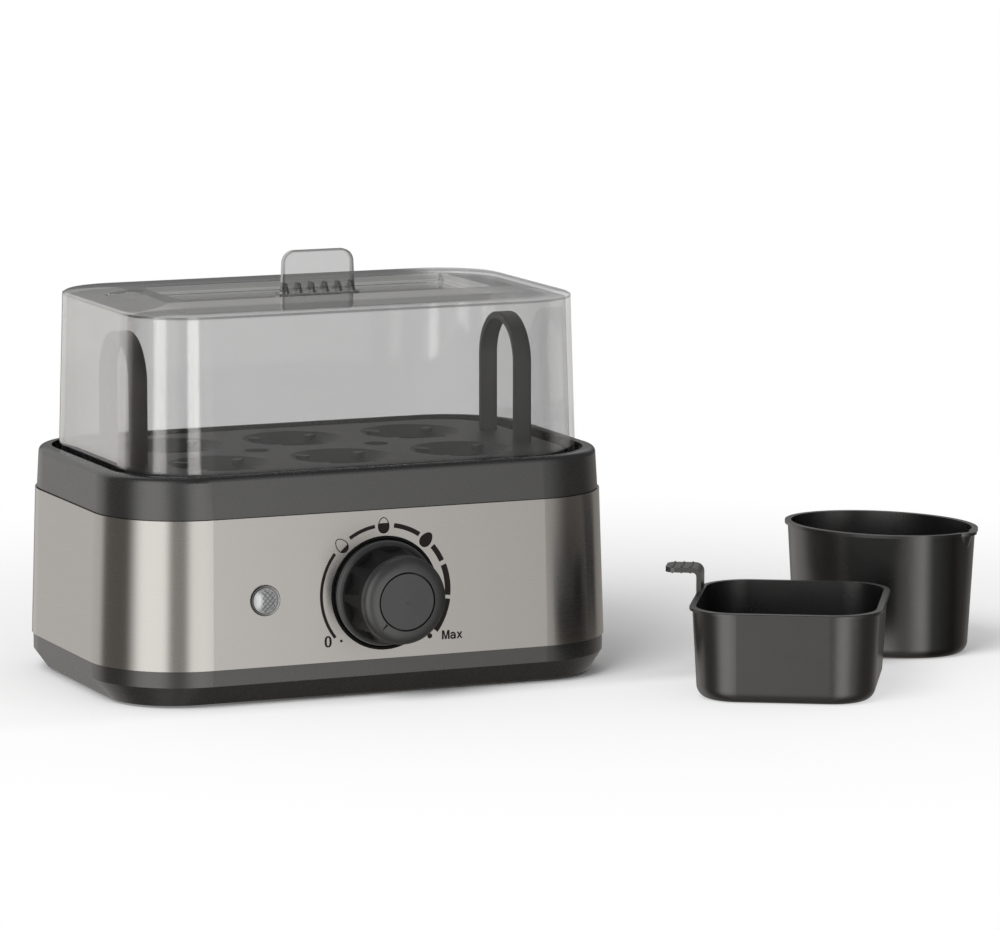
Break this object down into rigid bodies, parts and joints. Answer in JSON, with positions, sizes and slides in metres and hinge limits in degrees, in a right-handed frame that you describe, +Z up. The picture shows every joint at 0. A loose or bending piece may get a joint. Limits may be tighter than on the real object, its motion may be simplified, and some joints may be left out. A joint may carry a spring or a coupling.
{
  "type": "electric egg cooker",
  "caption": "Table-top egg cooker: steel-clad heated base, rotary knob, lamp, lift-out egg tray with strap handles, clear lid, loose poaching dish and measuring cup.",
  "frame": {"origin": "centre of the cooker base on the table, between its four feet", "axes": "+Z up, front panel with knob and lamp faces -Y, +X to the right along the front"},
  "size_m": [0.362, 0.2275, 0.1648],
  "materials": {
    "black_plastic": "fine satin moulded black plastic",
    "grey_plastic": "satin moulded charcoal plastic",
    "knob_plastic": "satin charcoal plastic with moulded flutes",
    "tray_plastic": "satin moulded black plastic",
    "cup_plastic": "satin-gloss black plastic",
    "smoked_clear": "clear moulded plastic with a light grey smoke",
    "brushed_steel": "fine horizontal brushing",
    "zinc_steel": "bright zinc-plated steel",
    "pan_coating": "pressed aluminium with a grey coating",
    "element_sheath": "heat-darkened steel sheath",
    "ceramic": "unglazed white ceramic",
    "ivory_plastic": "heat-resistant ivory plastic",
    "rubber": "matt black rubber",
    "lamp_lens": "clear prismatic plastic, silvery when off",
    "lamp_glass": "clear glass"
  },
  "bodies": {
    "base": {"base_shell": "black_plastic", "rubber_feet": "rubber", "base_screws": "zinc_steel", "steel_band": "brushed_steel", "top_collar": "grey_plastic", "heating_pan": "pan_coating", "pan_seal": "rubber", "pan_screws": "zinc_steel", "heating_element": "element_sheath", "element_terminals": "ceramic", "element_clips": "zinc_steel", "limit_thermostat": "zinc_steel", "thermal_fuse": "zinc_steel", "terminal_block": "ivory_plastic", "terminal_screws": "zinc_steel", "cord_gland": "rubber", "rotary_control": "ivory_plastic", "knob_bezel": "black_plastic", "control_screws": "zinc_steel", "lamp_bezel": "black_plastic", "lamp_lens": "lamp_lens", "glow_lamp": "lamp_glass", "lamp_holder": "ivory_plastic", "lamp_retainer": "zinc_steel"},
    "knob": {"knob_body": "knob_plastic", "knob_cap": "knob_plastic", "knob_shaft": "zinc_steel", "knob_spring_ring": "zinc_steel"},
    "tray": {"egg_tray": "tray_plastic", "tray_handle_left": "tray_plastic", "tray_handle_right": "tray_plastic"},
    "lid": {"lid_shell": "smoked_clear", "lid_handle": "smoked_clear"},
    "dish": {"poaching_dish": "cup_plastic"},
    "cup": {"measuring_cup": "cup_plastic", "egg_pin": "zinc_steel"}
  },
  "joints": [
    {"name": "knob_turn", "type": "hinge", "parent": "base", "child": "knob", "pos_m": [0.0012, -0.0675, 0.0402], "axis": [0, 1, 0], "range_deg": [0, 270]},
    {"name": "tray_lift", "type": "slide", "parent": "base", "child": "tray", "axis": [0, 0, 1], "range_m": [0, 0.06]},
    {"name": "lid_lift", "type": "slide", "parent": "tray", "child": "lid", "axis": [0, 0, 1], "range_m": [0, 0.08]},
    {"name": "dish_lift", "type": "slide", "parent": "base", "child": "dish", "axis": [0, 0, 1], "range_m": [0, 0.06]},
    {"name": "cup_lift", "type": "slide", "parent": "base", "child": "cup", "axis": [0, 0, 1], "range_m": [0, 0.06]}
  ]
}
